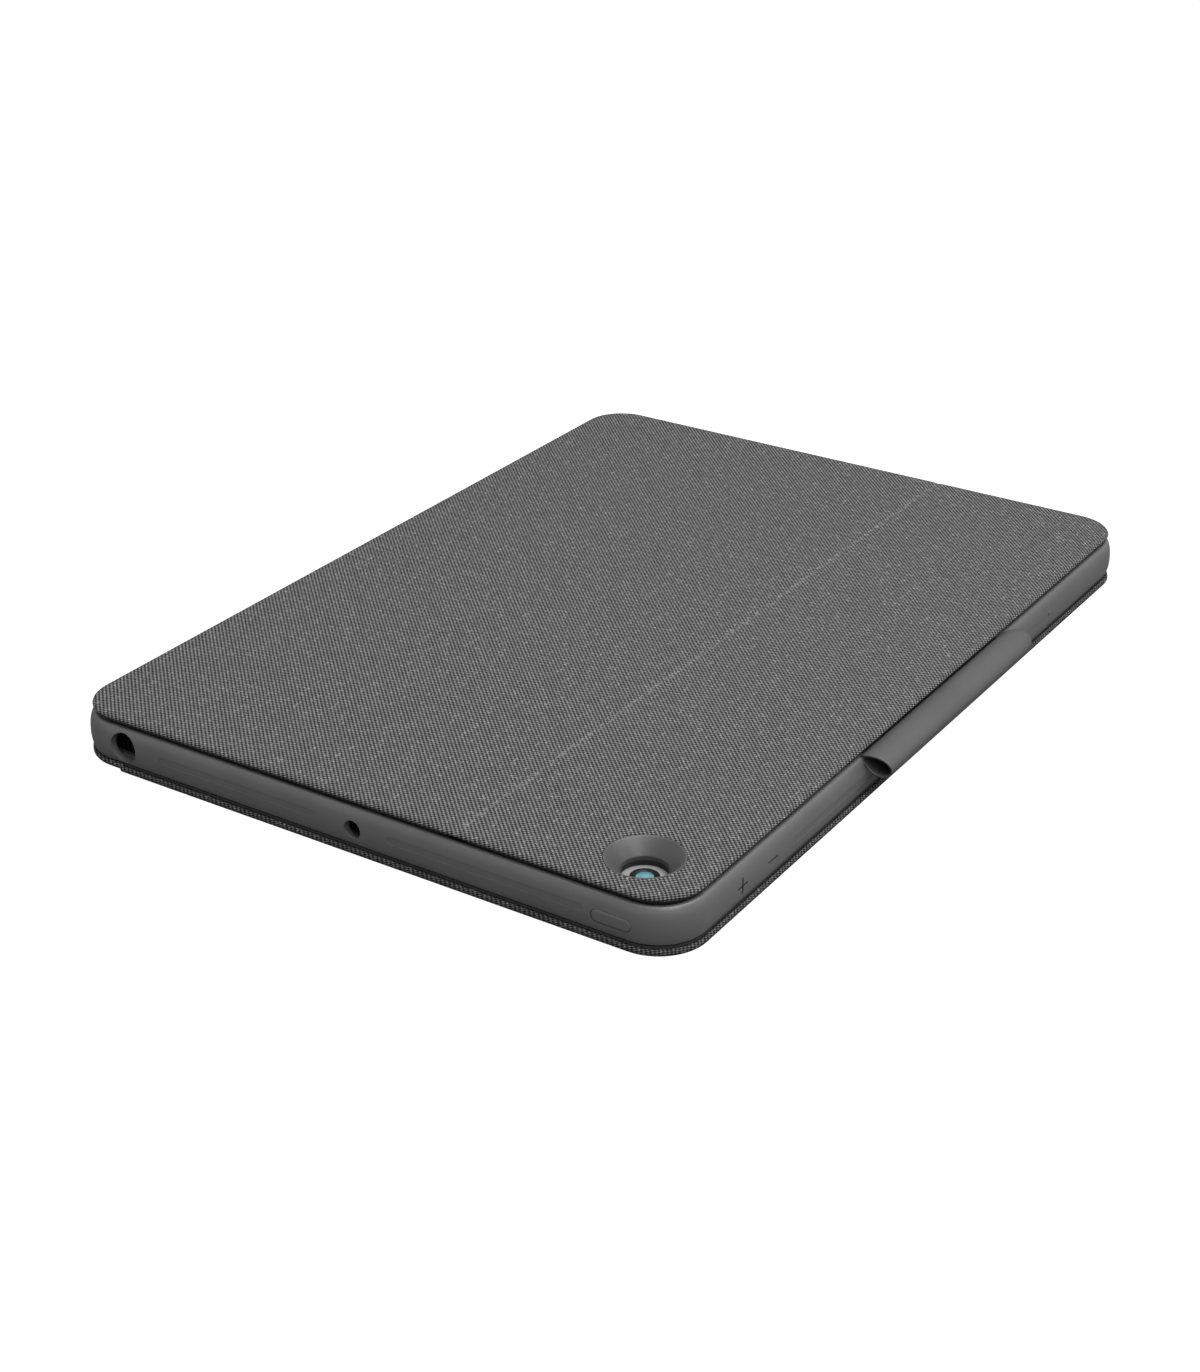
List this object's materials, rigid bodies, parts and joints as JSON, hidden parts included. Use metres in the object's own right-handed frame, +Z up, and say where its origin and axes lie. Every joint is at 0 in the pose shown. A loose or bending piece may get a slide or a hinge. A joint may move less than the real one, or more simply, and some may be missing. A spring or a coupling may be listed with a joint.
{
  "type": "tablet keyboard case",
  "caption": "Folding tablet case with a fabric kickstand back, soft frame, stylus loop and a magnetically attached keyboard, closed and lying on its keyboard",
  "frame": {"origin": "middle of the whole object's outline on the ground, stylus loop included", "axes": "X along the long side, Y from the opening side with the stylus loop to the fold, Z up through the fabric back"},
  "size_m": [0.2554, 0.1896, 0.0155],
  "materials": {
    "fabric": "two-tone woven cloth with a fine rib",
    "elastomer": "satin moulded soft plastic",
    "plastic": "satin moulded plastic",
    "keycap": "matt keycap plastic",
    "glass_pad": "smooth satin touch surface",
    "microfibre": "brushed microfibre",
    "steel": "thin stamped steel",
    "magnet": "nickel-plated magnet",
    "bumper": "soft black rubber",
    "circuit": "green circuit board",
    "film": "amber polyester film",
    "gold": "gold-plated contacts"
  },
  "bodies": {
    "keyboard": {"keyboard_cover_fabric": "fabric", "base_plate": "steel", "key_membrane": "film", "controller_board": "circuit", "trackpad_board": "circuit", "keyboard_deck": "plastic", "screen_bumper_left": "bumper", "screen_bumper_right": "bumper", "hinge_fabric_outer": "fabric", "hinge_fabric_inner": "fabric", "hinge_ribbon_cable": "film"},
    "connector": {"connector_strip": "plastic", "connector_magnet_left": "magnet", "connector_magnet_right": "magnet", "contact_pins": "gold"},
    "case": {"case_frame": "elastomer", "pencil_loop": "elastomer", "back_shell": "plastic", "inner_liner": "microfibre", "kickstand_latch_plate": "steel", "camera_bezel": "plastic", "camera_panel_core": "plastic", "camera_panel_fabric": "fabric", "crease_fabric": "fabric", "fixed_hinge_leaf_left": "steel", "hinge_pin_left": "steel", "fixed_leaf_screw_left_1": "steel", "fixed_leaf_screw_left_2": "steel", "fixed_hinge_leaf_right": "steel", "hinge_pin_right": "steel", "fixed_leaf_screw_right_1": "steel", "fixed_leaf_screw_right_2": "steel"},
    "kickstand": {"kickstand_core": "plastic", "kickstand_fabric": "fabric", "kickstand_magnet_left": "magnet", "kickstand_magnet_right": "magnet", "moving_hinge_leaf_left": "steel", "moving_leaf_screw_left_1": "steel", "moving_leaf_screw_left_2": "steel", "moving_hinge_leaf_right": "steel", "moving_leaf_screw_right_1": "steel", "moving_leaf_screw_right_2": "steel"},
    "power_press": {"power_button": "elastomer"},
    "volume_up_press": {"volume_up_button": "elastomer"},
    "volume_down_press": {"volume_down_button": "elastomer"},
    "trackpad_plate": {"trackpad": "glass_pad"},
    "lower_row": {"lower_row_keys": "keycap"},
    "home_row": {"home_row_keys": "keycap"},
    "upper_row": {"upper_row_keys": "keycap"},
    "number_row": {"number_row_keys": "keycap"},
    "function_row": {"function_row_keys": "keycap"},
    "left_modifiers": {"left_modifier_keys": "keycap"},
    "space": {"space_bar": "keycap"},
    "right_modifiers": {"right_modifier_keys": "keycap"}
  },
  "joints": [
    {"name": "keyboard_hinge", "type": "hinge", "parent": "keyboard", "child": "connector", "pos_m": [0, 0.08853, 0.0084], "axis": [1, 0, 0], "range_deg": [-179, 0], "deforming": ["hinge_fabric_outer", "hinge_fabric_inner", "hinge_ribbon_cable"]},
    {"name": "keyboard_detach", "type": "slide", "parent": "connector", "child": "case", "axis": [0, 0, 1], "range_m": [0, 0.007]},
    {"name": "kickstand_hinge", "type": "hinge", "parent": "case", "child": "kickstand", "pos_m": [0, -0.02647, 0.0138], "axis": [1, 0, 0], "range_deg": [0, 110], "deforming": ["crease_fabric"]},
    {"name": "power_button_press", "type": "slide", "parent": "case", "child": "power_press", "axis": [1, 0, 0], "range_m": [0, 0.0003], "stiffness_N_per_m": 4000, "springref_m": -0.0002},
    {"name": "volume_up_press_slide", "type": "slide", "parent": "case", "child": "volume_up_press", "axis": [0, 1, 0], "range_m": [0, 0.0003], "stiffness_N_per_m": 4000, "springref_m": -0.0002},
    {"name": "volume_down_press_slide", "type": "slide", "parent": "case", "child": "volume_down_press", "axis": [0, 1, 0], "range_m": [0, 0.0003], "stiffness_N_per_m": 4000, "springref_m": -0.0002},
    {"name": "trackpad_click", "type": "slide", "parent": "keyboard", "child": "trackpad_plate", "axis": [0, 0, -1], "range_m": [0, 0.0003], "stiffness_N_per_m": 3000, "springref_m": -0.0003},
    {"name": "lower_row_travel", "type": "slide", "parent": "keyboard", "child": "lower_row", "axis": [0, 0, -1], "range_m": [0, 0.001], "stiffness_N_per_m": 600, "springref_m": -0.0006},
    {"name": "home_row_travel", "type": "slide", "parent": "keyboard", "child": "home_row", "axis": [0, 0, -1], "range_m": [0, 0.001], "stiffness_N_per_m": 600, "springref_m": -0.0006},
    {"name": "upper_row_travel", "type": "slide", "parent": "keyboard", "child": "upper_row", "axis": [0, 0, -1], "range_m": [0, 0.001], "stiffness_N_per_m": 600, "springref_m": -0.0006},
    {"name": "number_row_travel", "type": "slide", "parent": "keyboard", "child": "number_row", "axis": [0, 0, -1], "range_m": [0, 0.001], "stiffness_N_per_m": 600, "springref_m": -0.0006},
    {"name": "function_row_travel", "type": "slide", "parent": "keyboard", "child": "function_row", "axis": [0, 0, -1], "range_m": [0, 0.001], "stiffness_N_per_m": 600, "springref_m": -0.0006},
    {"name": "left_modifiers_travel", "type": "slide", "parent": "keyboard", "child": "left_modifiers", "axis": [0, 0, -1], "range_m": [0, 0.001], "stiffness_N_per_m": 500, "springref_m": -0.0006},
    {"name": "space_travel", "type": "slide", "parent": "keyboard", "child": "space", "axis": [0, 0, -1], "range_m": [0, 0.001], "stiffness_N_per_m": 500, "springref_m": -0.0006},
    {"name": "right_modifiers_travel", "type": "slide", "parent": "keyboard", "child": "right_modifiers", "axis": [0, 0, -1], "range_m": [0, 0.001], "stiffness_N_per_m": 500, "springref_m": -0.0006}
  ]
}
